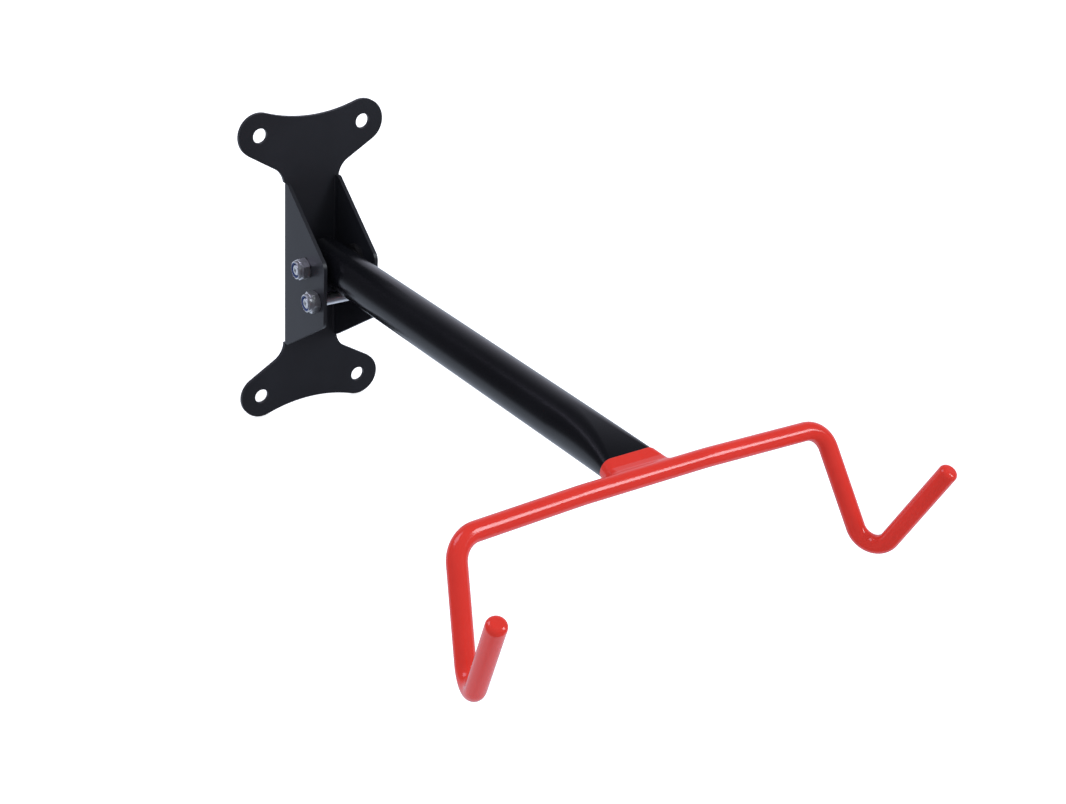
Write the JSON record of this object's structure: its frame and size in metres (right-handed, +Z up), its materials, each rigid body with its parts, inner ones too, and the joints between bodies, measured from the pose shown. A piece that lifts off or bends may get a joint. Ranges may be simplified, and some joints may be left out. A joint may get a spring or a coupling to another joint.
{
  "type": "bicycle wall rack",
  "caption": "Wall-mounted bicycle rack: a pressed bracket carries a folding tubular arm with a crossbar and V-shaped dipped hooks.",
  "frame": {"origin": "middle of the four wall holes, on the back face of the plate", "axes": "+Z up, +Y into the wall, the arm reaches along -Y, +X to the right as seen from the front"},
  "size_m": [0.3058, 0.4418, 0.214],
  "materials": {
    "bracket_paint": "satin black powder coat",
    "arm_paint": "glossy black paint",
    "zinc": "bright zinc plate",
    "blue_nylon": "smooth nylon",
    "black_nylon": "smooth nylon",
    "bare_steel": "drawn steel",
    "red_vinyl": "glossy soft vinyl dip"
  },
  "bodies": {
    "bracket": {"wall_bracket": "bracket_paint", "pivot_bolt": "zinc", "pivot_nut": "zinc", "pivot_nut_ring": "blue_nylon", "spacer_left": "black_nylon", "spacer_right": "black_nylon", "stop_bolt": "zinc", "stop_nut": "zinc", "stop_nut_ring": "blue_nylon"},
    "arm": {"arm_tube": "arm_paint", "pivot_sleeve": "bare_steel", "hook_rod": "bare_steel", "rod_weld": "bare_steel", "dip_coat": "red_vinyl"}
  },
  "joints": [
    {"name": "arm_fold", "type": "hinge", "parent": "bracket", "child": "arm", "pos_m": [0, -0.031, 0.009], "axis": [-1, 0, 0], "range_deg": [0, 90]}
  ]
}
